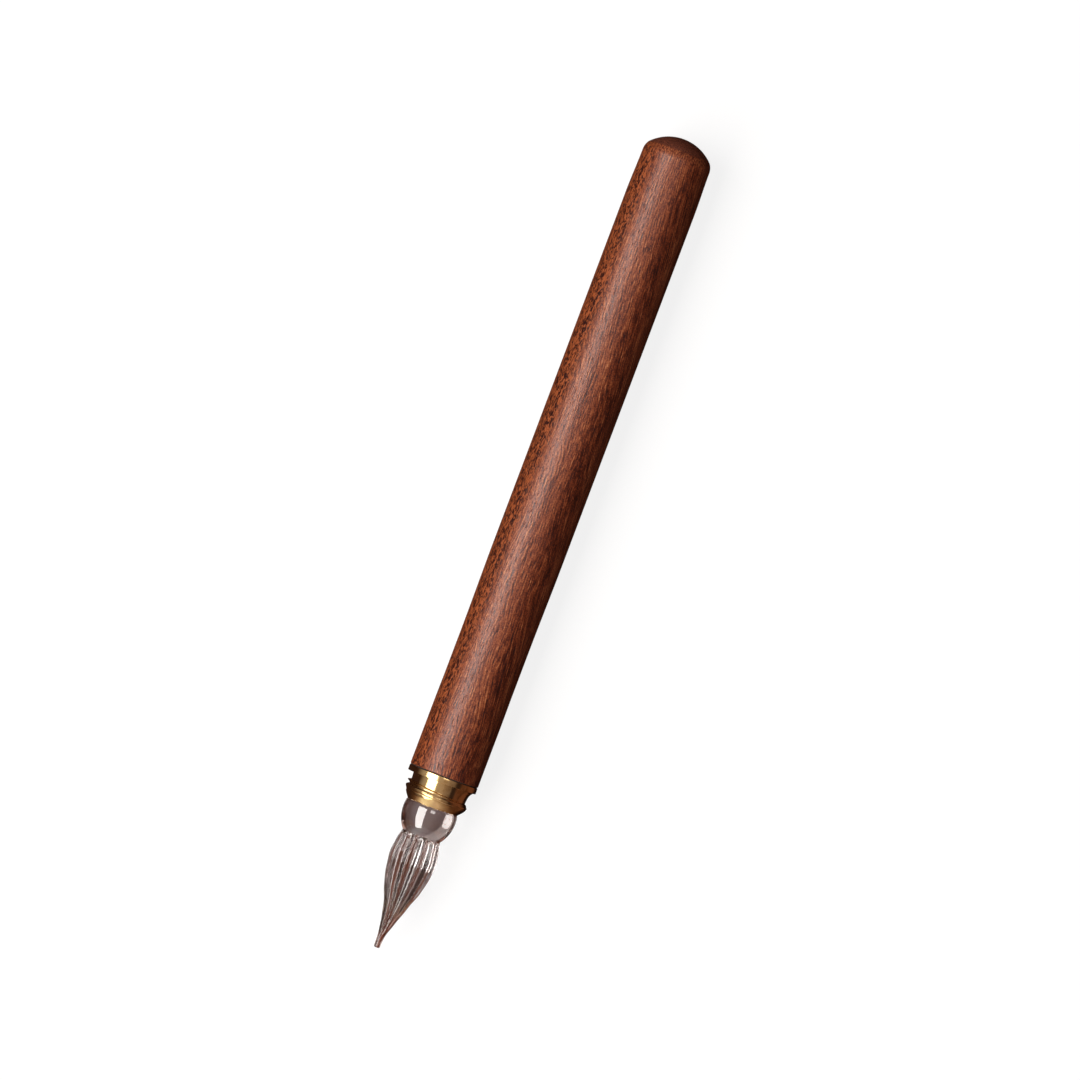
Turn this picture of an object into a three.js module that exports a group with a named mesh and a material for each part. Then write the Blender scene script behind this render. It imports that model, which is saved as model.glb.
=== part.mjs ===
// A glass dip pen: a turned hardwood barrel, a brass section that screws into it, and a fluted nib
// and shank made in one piece of clear glass, bedded in the section.
// The pen lies along X on a flat of the barrel, nib towards +X. Lengths are in millimetres.

import * as THREE from "three";

// Driving dimensions
const BARREL_RADIUS = 6.5;
const BARREL_LENGTH = 121.2;
const WASHER_THICKNESS = 0.2;
const COLLAR_LENGTH = 5.7; // the brass that shows, from the washer to the lip round the glass
const BULB_LENGTH = 5.6;
const NIB_LENGTH = 21.5;
const SHANK_RADIUS = 4.5; // the section's M9 x 1 tail, at the crests
const SHANK_LENGTH = 8.0;
const GLASS_SHANK_RADIUS = 3.0;
const GLASS_SHANK_LENGTH = 9.0;
const FLUTES = 12;

// Clearances
const SEAT_GAP = 0.02; // between faces that are screwed up tight
const GLUE_FILM = 0.05;
const THREAD_PLAY = 0.06;

// A turned piece has this many flats, tangent to the true round, with one facing each way along Y
// and Z. The barrel's are wider, so that the pen lies still on the lowest.
const FACETS = 48;
const BARREL_FACETS = 24;
const OVERALL_LENGTH = BARREL_LENGTH + WASHER_THICKNESS + COLLAR_LENGTH + BULB_LENGTH + NIB_LENGTH;

const degrees = THREE.MathUtils.degToRad;

const oiledWood = new THREE.MeshStandardMaterial({ color: 0x7a3f2a, roughness: 0.45 });
const brass = new THREE.MeshStandardMaterial({ color: 0xc9a24e, roughness: 0.18, metalness: 1.0 });
const blackFibre = new THREE.MeshStandardMaterial({ color: 0x1c1512, roughness: 0.8 });
const clearAdhesive = new THREE.MeshStandardMaterial({ color: 0xcfc8b8, roughness: 0.4 });
const clearGlass = new THREE.MeshStandardMaterial({
  color: 0xe8ecee,
  roughness: 0.03,
  transparent: true,
  opacity: 0.4,
});

// Points of a profile are [distance along the pen, radius].
function arc(centre, radius, fromDegrees, toDegrees, steps) {
  return Array.from({ length: steps + 1 }, (_, i) => {
    const angle = degrees(THREE.MathUtils.lerp(fromDegrees, toDegrees, i / steps));
    return [centre[0] - radius * Math.cos(angle), centre[1] + radius * Math.sin(angle)];
  });
}

// A piece turned on a lathe: its profile runs towards +X on the outside and back on the inside.
function turned(name, profile, material, facets = FACETS) {
  const halfFacet = Math.PI / facets;
  const points = profile.map(
    ([along, radius]) => new THREE.Vector2(radius / Math.cos(halfFacet), along),
  );
  const geometry = new THREE.LatheGeometry(points, facets, halfFacet);
  geometry.rotateZ(-Math.PI / 2);
  const mesh = new THREE.Mesh(geometry, material);
  mesh.name = name;
  return mesh;
}

function turnedRing(name, profile, material) {
  return turned(name, [...profile, profile[0]], material);
}

// The barrel is measured back from its mouth, at 0.
const BUSH_RADIUS = 5.2;
const BUSH_LENGTH = 9.0;
const BUSH_RECESS = 0.1;
const SOCKET_RADIUS = BUSH_RADIUS + GLUE_FILM;
const SOCKET_DEPTH = BUSH_RECESS + BUSH_LENGTH + GLUE_FILM;
const CLEARANCE_HOLE_RADIUS = 3.6; // leaves room behind the section for the end of the glass
const CLEARANCE_HOLE_DEPTH = 16.0;
const DRILL_POINT = CLEARANCE_HOLE_RADIUS / Math.tan(degrees(59));

function barrel() {
  const butt = -BARREL_LENGTH;
  // A low dome meets, at a soft edge, the round that leads into the side.
  const domeRadius = 8.0;
  const domeEdge = 46.6;
  const sideRound = 2.87;
  const sideRoundStart = 55;
  const dome = arc([butt + domeRadius, 0], domeRadius, 0, domeEdge, 6);
  const [edgeAlong, edgeRadius] = dome[dome.length - 1];
  const roundCentre = [
    edgeAlong + sideRound * Math.cos(degrees(sideRoundStart)),
    edgeRadius - sideRound * Math.sin(degrees(sideRoundStart)),
  ];
  const round = arc(roundCentre, sideRound, sideRoundStart, 90, 5).slice(1);
  return turned("barrel", [
    ...dome,
    ...round,
    // The side swells to its full thickness, draws in a little at the grip and ends at the mouth.
    [butt + 12, BARREL_RADIUS],
    [-39.5, BARREL_RADIUS],
    [-33, BARREL_RADIUS - 0.06],
    [-26, BARREL_RADIUS - 0.12],
    [-18, BARREL_RADIUS - 0.12],
    [-11, BARREL_RADIUS - 0.08],
    [0, BARREL_RADIUS - 0.08],
    [0, SOCKET_RADIUS + 0.15],
    [-0.15, SOCKET_RADIUS],
    [-SOCKET_DEPTH, SOCKET_RADIUS],
    [-SOCKET_DEPTH, CLEARANCE_HOLE_RADIUS],
    [-CLEARANCE_HOLE_DEPTH, CLEARANCE_HOLE_RADIUS],
    [-CLEARANCE_HOLE_DEPTH - DRILL_POINT, 0],
  ], oiledWood, BARREL_FACETS);
}

// A threaded sleeve glued into the barrel, with three grooves that key it to the glue.
function barrelBush() {
  const front = -BUSH_RECESS;
  const rear = front - BUSH_LENGTH;
  const bore = SHANK_RADIUS + THREAD_PLAY;
  const chamfer = 0.25;
  const grooveDepth = 0.2;
  const grooveWidth = 0.8;
  const grooves = [1.6, 4.1, 6.6].flatMap((start) => [
    [rear + start, BUSH_RADIUS],
    [rear + start + 0.2, BUSH_RADIUS - grooveDepth],
    [rear + start + grooveWidth - 0.2, BUSH_RADIUS - grooveDepth],
    [rear + start + grooveWidth, BUSH_RADIUS],
  ]);
  return turnedRing("barrel_bush", [
    [rear, bore],
    [rear, BUSH_RADIUS - chamfer],
    [rear + chamfer, BUSH_RADIUS],
    ...grooves,
    [front, BUSH_RADIUS],
    [front, bore + chamfer],
    [front - chamfer, bore],
  ], brass);
}

// The thin black washer that shows as a dark line between wood and brass.
function seamWasher() {
  const outer = BARREL_RADIUS - 0.2;
  const inner = SHANK_RADIUS + 0.1;
  return turnedRing("seam_washer", [
    [SEAT_GAP, inner],
    [SEAT_GAP, outer],
    [WASHER_THICKNESS - SEAT_GAP, outer],
    [WASHER_THICKNESS - SEAT_GAP, inner],
  ], blackFibre);
}

// The section is measured forward from its shoulder on the washer.
const RING_RADIUS = BARREL_RADIUS - 0.08;
const RING_LENGTH = 1.05;
const NECK_RADIUS = 5.25;
const NECK_END = 2.3;
const BAND_RADIUS = 5.88; // over the crests of the cap thread
const BAND_END = 3.6;
const NOSE_ROUND = 5.9;
const LIP_RADIUS = 4.76;
const LIP_BORE = 4.45;
const BORE_RADIUS = GLASS_SHANK_RADIUS + 0.3;
const MOUTH_DEPTH = 1.3;

function section() {
  const tail = -SHANK_LENGTH;
  const edge = 0.08;
  // The nose curves in from the thread to the lip: an arc that starts 17 degrees off the axis.
  const noseStart = 17;
  const noseEnd = 39.5;
  const noseCentre = [
    BAND_END - NOSE_ROUND * Math.sin(degrees(noseStart)),
    BAND_RADIUS - NOSE_ROUND * Math.cos(degrees(noseStart)),
  ];
  const nose = arc(noseCentre, NOSE_ROUND, 90 + noseStart, 90 + noseEnd, 4);
  return turnedRing("section", [
    [tail, BORE_RADIUS],
    [tail, SHANK_RADIUS - 0.5],
    [tail + 0.5, SHANK_RADIUS],
    [-1.0, SHANK_RADIUS],
    [-0.8, SHANK_RADIUS - 0.4],
    [0, SHANK_RADIUS - 0.4],
    [0, RING_RADIUS - edge],
    [edge, RING_RADIUS],
    [RING_LENGTH - edge, RING_RADIUS],
    [RING_LENGTH, RING_RADIUS - edge],
    [RING_LENGTH, NECK_RADIUS],
    [NECK_END, NECK_RADIUS],
    [NECK_END + 0.25, BAND_RADIUS],
    ...nose,
    [COLLAR_LENGTH, LIP_RADIUS],
    [COLLAR_LENGTH, LIP_BORE],
    [COLLAR_LENGTH - MOUTH_DEPTH, BORE_RADIUS],
  ], brass);
}

// The adhesive that fills the gap between the glass shank and the section's bore.
function nibAdhesive() {
  const inner = GLASS_SHANK_RADIUS + SEAT_GAP;
  const outer = BORE_RADIUS - SEAT_GAP;
  const rear = COLLAR_LENGTH - MOUTH_DEPTH - 7.0;
  const front = COLLAR_LENGTH - MOUTH_DEPTH - 0.2;
  return turnedRing("nib_adhesive", [
    [rear, inner],
    [rear, outer],
    [front, outer],
    [front, inner],
  ], clearAdhesive);
}

// The glass is measured forward from the lip of the section.
const SEGMENTS_PER_FLUTE = 6;
const FLUTE_DEPTH = 0.48; // at the nib's thickest place
const FLUTE_TWIST = degrees(7);
const TIP_BEND = 0.46; // the drawn-out tip leans to -Y
const BULB_RADIUS = 4.94;
const BULB_CENTRE = 1.6;
const BULB_HALF_LENGTH = 5.75;
const NIB_OUTLINE = new THREE.SplineCurve(
  [
    [0, 3.56],
    [1.3, 3.97],
    [3.9, 4.38],
    [6.3, 4.24],
    [9.6, 3.55],
    [13.0, 2.34],
    [16.4, 1.35],
    [19.0, 0.72],
    [20.9, 0.56],
  ].map(([along, radius]) => new THREE.Vector2(along, radius)),
);
const NIB_MAX_RADIUS = 4.38;

// How far the glass at a place is fluted: not at all on the bulb and the point, fully between.
function fluting(fromWaist) {
  const begins = THREE.MathUtils.smoothstep(fromWaist, -0.1, 0.9);
  const fades = 1 - THREE.MathUtils.smoothstep(fromWaist, 17.0, 20.6);
  return begins * fades;
}

// Plain rings of the shank, the seat in the section's mouth and the bulb, as [along, radius].
function shankAndBulb() {
  const rear = -GLASS_SHANK_LENGTH;
  const seat = SEAT_GAP * 3;
  const bulbAt = (along) => {
    const offset = (along - BULB_CENTRE) / BULB_HALF_LENGTH;
    return [along, BULB_RADIUS * Math.sqrt(1 - offset * offset)];
  };
  const bulbStart = seat + 0.25;
  const bulbEnd = BULB_LENGTH - 0.05;
  const bulbSteps = 8;
  const bulb = Array.from({ length: bulbSteps + 1 }, (_, i) =>
    bulbAt(THREE.MathUtils.lerp(bulbStart, bulbEnd, i / bulbSteps)),
  );
  return [
    [rear, GLASS_SHANK_RADIUS * 0.6],
    [rear + 0.3, GLASS_SHANK_RADIUS * 0.88],
    [rear + 0.9, GLASS_SHANK_RADIUS],
    [-MOUTH_DEPTH - 0.1, GLASS_SHANK_RADIUS],
    [seat, LIP_BORE - 0.12],
    [seat, LIP_RADIUS - 0.15],
    ...bulb,
  ];
}

function glassNib() {
  const around = FLUTES * SEGMENTS_PER_FLUTE;
  const nibSteps = 30;
  const nib = NIB_OUTLINE.getPoints(nibSteps).map((p) => [BULB_LENGTH + p.x, p.y]);
  const tip = BULB_LENGTH + NIB_LENGTH;
  const rings = [...shankAndBulb(), ...nib, [tip - 0.3, 0.5], [tip - 0.08, 0.32]];

  const positions = [];
  const bendAt = (along) => -TIP_BEND * THREE.MathUtils.smoothstep(along - BULB_LENGTH, 12.8, 21.0);
  for (const [along, radius] of rings) {
    const fromWaist = along - BULB_LENGTH;
    const depth = (FLUTE_DEPTH * fluting(fromWaist) * radius) / NIB_MAX_RADIUS;
    const turn = FLUTE_TWIST * THREE.MathUtils.clamp(fromWaist / NIB_LENGTH, 0, 1);
    for (let i = 0; i < around; i++) {
      // Each rib is round on top and meets the next in a narrow groove.
      const acrossRib = ((i % SEGMENTS_PER_FLUTE) / SEGMENTS_PER_FLUTE) * 2 - 1;
      const drop = 1 - Math.sqrt(1 - acrossRib * acrossRib);
      const angle = (i / around) * 2 * Math.PI + turn;
      const r = radius - depth * drop;
      positions.push(along, bendAt(along) + r * Math.cos(angle), r * Math.sin(angle));
    }
  }
  const rearPole = positions.length / 3;
  positions.push(rings[0][0], 0, 0);
  const tipPole = rearPole + 1;
  positions.push(tip, bendAt(tip), 0);

  const faces = [];
  const last = rings.length - 1;
  for (let i = 0; i < around; i++) {
    const next = (i + 1) % around;
    faces.push(rearPole, next, i);
    faces.push(tipPole, last * around + i, last * around + next);
    for (let ring = 0; ring < last; ring++) {
      const here = ring * around;
      const ahead = here + around;
      faces.push(here + i, here + next, ahead + i);
      faces.push(here + next, ahead + next, ahead + i);
    }
  }
  const geometry = new THREE.BufferGeometry();
  geometry.setAttribute("position", new THREE.Float32BufferAttribute(positions, 3));
  geometry.setIndex(faces);
  geometry.computeVertexNormals();
  const mesh = new THREE.Mesh(geometry, clearGlass);
  mesh.name = "glass_nib";
  mesh.position.x = COLLAR_LENGTH;
  return mesh;
}

// What unscrews in one piece: the section with the glass bedded in it.
const nibUnit = new THREE.Group();
nibUnit.position.x = WASHER_THICKNESS;
nibUnit.add(section(), nibAdhesive(), glassNib());

const pen = new THREE.Group();
pen.position.set(BARREL_LENGTH - OVERALL_LENGTH / 2, 0, BARREL_RADIUS);
pen.add(barrel(), barrelBush(), seamWasher(), nibUnit);

const part = new THREE.Group();
part.add(pen);

export default part;
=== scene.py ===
import math

import bpy
import numpy as np
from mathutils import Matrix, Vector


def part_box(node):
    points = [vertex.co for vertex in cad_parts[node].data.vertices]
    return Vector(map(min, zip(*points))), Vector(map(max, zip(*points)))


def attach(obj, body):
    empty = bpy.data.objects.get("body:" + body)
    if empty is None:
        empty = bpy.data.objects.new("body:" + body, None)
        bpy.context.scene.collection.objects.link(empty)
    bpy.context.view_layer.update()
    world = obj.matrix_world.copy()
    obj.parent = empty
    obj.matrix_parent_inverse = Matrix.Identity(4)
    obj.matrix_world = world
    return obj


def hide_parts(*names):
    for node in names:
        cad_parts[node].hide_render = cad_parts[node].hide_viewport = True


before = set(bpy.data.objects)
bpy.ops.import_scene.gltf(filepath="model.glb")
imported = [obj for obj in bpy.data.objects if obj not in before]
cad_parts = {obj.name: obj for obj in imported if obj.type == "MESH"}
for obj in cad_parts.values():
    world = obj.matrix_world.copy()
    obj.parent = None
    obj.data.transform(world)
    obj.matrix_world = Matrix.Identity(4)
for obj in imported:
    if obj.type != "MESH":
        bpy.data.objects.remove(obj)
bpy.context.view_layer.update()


# Barrel
# Turned from one blank of straight-grained hardwood and oiled. The butt is a low dome of end grain, the
# side swells a little and draws in at the grip, and the mouth is bored for the threaded bush.

MM = 0.001  # a piece's sizes are in millimetres, from here on
BARREL_RADIUS = 6.5
SMOOTH_TURNING = 192  # points round a turned piece
SHARP_EDGE = math.radians(28)

barrel_low, barrel_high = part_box("barrel")
AXIS_HEIGHT = (barrel_low.z + barrel_high.z) / 2
BUTT = barrel_low.x / MM
MOUTH = barrel_high.x / MM


def mm(*sizes):
    """Sizes in millimetres, given in metres."""
    return tuple(size * MM for size in sizes)


def arc(centre, radius, start, end, steps):
    """Profile points [x, r] on a circle: x = centre x - radius cos(a) and r = centre r + radius sin(a),
    with the angle a going from start to end, in degrees."""
    angle = np.radians(np.linspace(start, end, steps + 1))
    return np.stack([centre[0] - radius * np.cos(angle), centre[1] + radius * np.sin(angle)], axis=1)


def ease(start, end, value):
    """0 before start and 1 after end, along 3t^2 - 2t^3 between them."""
    t = np.clip((value - start) / (end - start), 0, 1)
    return t * t * (3 - 2 * t)


def around_axis(steps):
    """Angles round the pen, in radians: 0 at the top, a quarter turn at +Y."""
    return np.linspace(0, 2 * np.pi, steps, endpoint=False)


def turn(along, radius, angle, sideways=0.0):
    """Rings of points in metres: y = sideways + r sin(a) and z = axis height + r cos(a), for each
    station x along the pen, in millimetres, and each angle a."""
    along, radius, sideways = (np.reshape(value, (-1, 1)) if np.ndim(value) == 1 else value
                               for value in (along, radius, sideways))
    x, r, y0, a = np.broadcast_arrays(along, radius, sideways, angle)
    return np.stack([x, y0 + r * np.sin(a), r * np.cos(a)], axis=2) * MM + [0, 0, AXIS_HEIGHT]


def skin(name, rings):
    """A closed mesh over rings of points, each joined to the next by four-sided faces. Rings that shrink
    to a point at both ends become its poles. Otherwise the last ring joins the first, round a bore."""
    count, steps = rings.shape[:2]
    poled = bool(np.allclose(rings[0], rings[0, :1]))
    index = np.arange(count * steps).reshape(count, steps)
    here = index[1:-2] if poled else index
    ahead = index[2:-1] if poled else np.roll(index, -1, axis=0)
    quads = np.stack([here, ahead, np.roll(ahead, -1, axis=1), np.roll(here, -1, axis=1)], axis=2)
    faces = quads.reshape(-1, 4).tolist()
    points = rings.reshape(-1, 3)
    if poled:
        rear, front = index[0, 0], index[0, 1]
        points = points.copy()
        points[front] = rings[-1, 0]
        first, last = index[1], index[-2]
        faces += np.stack([np.full(steps, rear), first, np.roll(first, -1)], axis=1).tolist()
        faces += np.stack([np.full(steps, front), np.roll(last, -1), last], axis=1).tolist()
        used = np.concatenate([[rear, front], index[1:-1].ravel()])
        renumbered = np.zeros(count * steps, int)
        renumbered[used] = np.arange(len(used))
        points = points[used]
        faces = [renumbered[face].tolist() for face in faces]
    mesh = bpy.data.meshes.new(name)
    mesh.from_pydata(points.tolist(), [], faces)
    mesh.shade_smooth()
    mesh.set_sharp_from_angle(angle=SHARP_EDGE)
    piece = bpy.data.objects.new(name, mesh)
    bpy.context.scene.collection.objects.link(piece)
    return piece


def fit(piece, material, body, node):
    """Gives a piece its finish, and puts it on its body in the place of a node."""
    piece.data.materials.append(material)
    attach(piece, body)
    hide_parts(node)


def new_finish(name):
    """A material, with its shader."""
    material = bpy.data.materials.new(name)
    material.use_nodes = True
    return material, material.node_tree.nodes["Principled BSDF"]


def put(tree, kind, inputs=None, **settings):
    """Adds a node. Each input is set to a value, or follows another node's output."""
    node = tree.nodes.new(kind)
    for name, value in settings.items():
        setattr(node, name, value)
    for name, value in (inputs or {}).items():
        if isinstance(value, bpy.types.NodeSocket):
            tree.links.new(value, node.inputs[name])
        else:
            node.inputs[name].default_value = value
    return node


def calculate(tree, operation, *values):
    """One step of arithmetic on outputs and numbers."""
    return put(tree, "ShaderNodeMath", dict(enumerate(values)), operation=operation).outputs[0]


def span(tree, value, low, high, to_low=0.0, to_high=1.0):
    """Takes a value from low..high to to_low..to_high, smoothly, and no further."""
    inputs = {"Value": value, "From Min": low, "From Max": high, "To Min": to_low, "To Max": to_high}
    return put(tree, "ShaderNodeMapRange", inputs, interpolation_type="SMOOTHSTEP").outputs[0]


MIX_COLOURS = (6, 7)  # the colour inputs of a mix, and its colour output
MIX_RESULT = 2


def tint(tree, amount, colour, other, how="MIX"):
    """Goes from one colour to the other by an amount."""
    mix = put(tree, "ShaderNodeMix", {0: amount}, data_type="RGBA", blend_type=how)
    for socket, value in zip(MIX_COLOURS, (colour, other)):
        if isinstance(value, bpy.types.NodeSocket):
            tree.links.new(value, mix.inputs[socket])
        else:
            mix.inputs[socket].default_value = (*value, 1)
    return mix.outputs[MIX_RESULT]


def shades_between(tree, value, low, high, stops):
    """A colour that follows a value through stops, each a value and its colour, from low to high."""
    share = put(tree, "ShaderNodeMapRange", {"Value": value, "From Min": low, "From Max": high})
    ramp = put(tree, "ShaderNodeValToRGB", {"Fac": share.outputs[0]})
    shades = ramp.color_ramp.elements
    for _ in stops[1:-1]:
        shades.new(0.5)
    for shade, (at, colour) in zip(shades, stops):
        shade.position = (at - low) / (high - low)
        shade.color = (*colour, 1)
    return ramp.outputs[0]


def place_on(tree):
    """The place on the piece, in metres."""
    return put(tree, "ShaderNodeTexCoord").outputs["Object"]


def grain(tree, place, size, detail=2.0, roughness=0.5, curl=0.0, shift=0.0):
    """Cloudy noise with patches of that size along each axis, curled by an amount, and moved sideways
    by a share of a patch."""
    scale = tuple(1 / length for length in size)
    stretch = {"Vector": place, "Scale": scale, "Location": (0, shift, shift)}
    stretched = put(tree, "ShaderNodeMapping", stretch).outputs[0]
    inputs = {"Vector": stretched, "Scale": 1.0, "Detail": detail, "Roughness": roughness, "Distortion": curl}
    return put(tree, "ShaderNodeTexNoise", inputs).outputs["Fac"]


def emboss(tree, shader, height, strength, depth):
    """Lets the light see a relief, whose height goes from 0 to 1 over a depth in metres."""
    bump = put(tree, "ShaderNodeBump", {"Strength": strength, "Distance": depth, "Height": height})
    tree.links.new(bump.outputs[0], shader.inputs["Normal"])


# Patches of the wood's figure are given along the grain, across the rays and through the growth layers.
GRAIN_TURN = math.radians(-33)  # turns the blank so that its growth layers lie flat towards the front right
SLANT_ACROSS = 0.114  # how far the fibres run across, and through the layers, for each millimetre along
SLANT_THROUGH = -0.057
WANDER_PATCH = (26, 9, 9)
WANDER_ACROSS = 3.0
WANDER_THROUGH = 2.0
BASE_TONE = 0.20
LAYER_PATCH = (24, 2.3, 0.7)
LAYER_TONE = 0.65
STREAK_PATCH = (4.6, 0.22, 0.20)
STREAK_SHIFT = 0.8
STREAK_TONE = 1.05
SPECK_PATCH = (0.28, 0.22, 0.22)
SPECK_TONE = 0.65
PORE_PATCH = (2.2, 0.20, 0.20)
PORE_EDGE = (0.58, 0.68)
PORE_TONE = -0.22
# darker over a band along the upper +Y side of the barrel
UPPER_PLUS_Y_BAND = (6.10, 6.42)
UPPER_PLUS_Y_TONE = -0.19
DARK_LAYER_AT = 6.2
DARK_LAYER_EDGE = (0.09, 0.03)
DARK_LAYER_TONE = -0.16
WOOD_TONES = [
    (0.00, (0.030, 0.005, 0.003)),
    (0.25, (0.095, 0.016, 0.006)),
    (0.50, (0.240, 0.052, 0.018)),
    (0.75, (0.400, 0.112, 0.040)),
    (1.00, (0.580, 0.215, 0.090)),
]
RAY_FACES = (5.7, 6.4)
CELL_PATCH = (0.90, 0.34, 0.30)
CELL_EDGE = (0.45, 0.56)
CELL_DARK = (0.024, 0.003, 0.002)
CELL_PALE = (0.400, 0.100, 0.032)
END_FACING = (0.62, 0.68)
END_PATCH = (0.9, 0.22, 0.22)
END_EDGE = (0.30, 0.70)
END_DARK = (0.070, 0.018, 0.010)
END_PALE = (0.340, 0.100, 0.055)
OILED_ROUGHNESS = 0.37
STREAK_ROUGHNESS = 0.12
PORE_ROUGHNESS = 0.2
PORE_RELIEF = -0.8
WOOD_RELIEF = (0.3, 0.05 * MM)  # strength, and depth in metres


def oiled_hardwood():
    """A solid pattern in millimetres, along the grain, across the rays and through the growth layers.
    Its tone is a sum: long growth layers, fibre streaks, short dark pores, and small curled cells on
    the faces where the rays lie in the surface. End grain faces along the grain and is darker."""
    material, shader = new_finish("oiled_hardwood")
    tree = material.node_tree
    coordinates = put(tree, "ShaderNodeTexCoord")
    blank = put(
        tree,
        "ShaderNodeMapping",
        {
            "Vector": coordinates.outputs["Object"],
            "Location": (0, 0, AXIS_HEIGHT),
            "Rotation": (GRAIN_TURN, 0, 0),
            "Scale": (MM, MM, MM),
        },
        vector_type="TEXTURE",
    ).outputs[0]
    along, across, through = put(tree, "ShaderNodeSeparateXYZ", {0: blank}).outputs

    # The fibres run a little across the blank, and wander.
    wander = grain(tree, blank, WANDER_PATCH)
    slanted = calculate(tree, "MULTIPLY_ADD", along, -SLANT_ACROSS, across)
    slanted = calculate(tree, "MULTIPLY_ADD", wander, WANDER_ACROSS, slanted)
    deep = calculate(tree, "MULTIPLY_ADD", wander, WANDER_THROUGH, through)
    rising = calculate(tree, "MULTIPLY_ADD", along, -SLANT_THROUGH, deep)
    fibres = put(tree, "ShaderNodeCombineXYZ", {0: along, 1: slanted, 2: rising}).outputs[0]
    bands = put(tree, "ShaderNodeCombineXYZ", {0: along, 1: slanted, 2: deep}).outputs[0]

    # Long layers, fibre streaks and fine specks add up to the tone, which darkens over a band along the upper
    # +Y side of the barrel.
    layers = grain(tree, bands, LAYER_PATCH, detail=3.0)
    streaks = grain(tree, fibres, STREAK_PATCH, detail=1.0)
    moved = grain(tree, fibres, STREAK_PATCH, detail=1.0, shift=STREAK_SHIFT)
    streaks = calculate(tree, "SUBTRACT", streaks, moved)
    specks = calculate(tree, "SUBTRACT", grain(tree, blank, SPECK_PATCH, detail=0.0), 0.5)
    tone = calculate(tree, "MULTIPLY_ADD", layers, LAYER_TONE, BASE_TONE)
    tone = calculate(tree, "MULTIPLY_ADD", streaks, STREAK_TONE, tone)
    tone = calculate(tree, "MULTIPLY_ADD", specks, SPECK_TONE, tone)
    tone = calculate(tree, "MULTIPLY_ADD", span(tree, through, *UPPER_PLUS_Y_BAND), UPPER_PLUS_Y_TONE, tone)

    # Open pores are short, dark lines, and one thin dark layer runs the length of the blank.
    pores = span(tree, grain(tree, fibres, PORE_PATCH, detail=1.0, roughness=0.6), *PORE_EDGE)
    tone = calculate(tree, "MULTIPLY_ADD", pores, PORE_TONE, tone)
    off_layer = calculate(tree, "SUBTRACT", deep, DARK_LAYER_AT)
    dark_layer = span(tree, calculate(tree, "ABSOLUTE", off_layer), *DARK_LAYER_EDGE)
    tone = calculate(tree, "MULTIPLY_ADD", dark_layer, DARK_LAYER_TONE, tone)
    colour = shades_between(tree, tone, 0, 1, WOOD_TONES)

    # Rays show as small curled cells on the two faces that they lie in.
    on_ray_face = span(tree, calculate(tree, "ABSOLUTE", across), *RAY_FACES)
    cells = span(tree, grain(tree, blank, CELL_PATCH, curl=1.0), *CELL_EDGE)
    colour = tint(tree, on_ray_face, colour, tint(tree, cells, CELL_DARK, CELL_PALE))

    # The dome cuts across the grain and shows it as fine speckle.
    facing = put(tree, "ShaderNodeSeparateXYZ", {0: coordinates.outputs["Normal"]}).outputs[0]
    on_end = span(tree, calculate(tree, "ABSOLUTE", facing), *END_FACING)
    speckle = span(tree, grain(tree, blank, END_PATCH), *END_EDGE)
    colour = tint(tree, on_end, colour, tint(tree, speckle, END_DARK, END_PALE))
    tree.links.new(colour, shader.inputs["Base Color"])

    rough = calculate(tree, "MULTIPLY_ADD", streaks, STREAK_ROUGHNESS, OILED_ROUGHNESS)
    rough = calculate(tree, "MULTIPLY_ADD", pores, PORE_ROUGHNESS, rough)
    tree.links.new(rough, shader.inputs["Roughness"])
    emboss(tree, shader, calculate(tree, "MULTIPLY_ADD", pores, PORE_RELIEF, streaks), *WOOD_RELIEF)
    return material


DOME_RADIUS = 8.0
DOME_EDGE = 46.6  # degrees from the axis, where the dome meets the side
SIDE_ROUND = 2.87
SIDE_START = 55
SIDE_GAP = 0.5  # from the end of that round to the next ring of points
SIDE_ROWS = 120
SWELL_LENGTH = 12.0
GRIP_DEPTH = 0.12
GRIP_START = (42, 26)  # back from the mouth
GRIP_END = (18, 11)
MOUTH_DEPTH = 0.08
MOUTH_EDGE = 0.12
SOCKET_RADIUS = 5.25
SOCKET_DEPTH = 9.15
SOCKET_CHAMFER = 0.15
CLEARANCE_RADIUS = 3.6
CLEARANCE_DEPTH = 16.0
DRILL_POINT = CLEARANCE_RADIUS / math.tan(math.radians(59))


def barrel_profile():
    """The dome's arc, the side's round, a long side that eases out to full thickness and in at the grip,
    and the stepped bore back to the drill's point."""
    dome = arc((BUTT + DOME_RADIUS, 0), DOME_RADIUS, 0, DOME_EDGE, 26)
    edge_x, edge_r = dome[-1]
    lean = math.radians(SIDE_START)
    centre = (edge_x + SIDE_ROUND * math.cos(lean), edge_r - SIDE_ROUND * math.sin(lean))
    side = arc(centre, SIDE_ROUND, SIDE_START, 90, 14)
    x = np.linspace(centre[0] + SIDE_GAP, MOUTH - MOUTH_EDGE, SIDE_ROWS)
    start_radius = side[-1, 1]
    radius = start_radius + (BARREL_RADIUS - start_radius) * ease(centre[0], BUTT + SWELL_LENGTH, x)
    radius -= GRIP_DEPTH * ease(MOUTH - GRIP_START[0], MOUTH - GRIP_START[1], x)
    radius += (GRIP_DEPTH - MOUTH_DEPTH) * ease(MOUTH - GRIP_END[0], MOUTH - GRIP_END[1], x)
    rim = arc((MOUTH - MOUTH_EDGE, radius[-1] - MOUTH_EDGE), MOUTH_EDGE, 100, 180, 5)
    bore = [
        (MOUTH, SOCKET_RADIUS + SOCKET_CHAMFER),
        (MOUTH - SOCKET_CHAMFER, SOCKET_RADIUS),
        (MOUTH - SOCKET_DEPTH, SOCKET_RADIUS),
        (MOUTH - SOCKET_DEPTH, CLEARANCE_RADIUS),
        (MOUTH - CLEARANCE_DEPTH, CLEARANCE_RADIUS),
        (MOUTH - CLEARANCE_DEPTH - DRILL_POINT, 0),
    ]
    return np.concatenate([dome, side[1:], np.stack([x, radius], axis=1), rim, bore]).T


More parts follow.
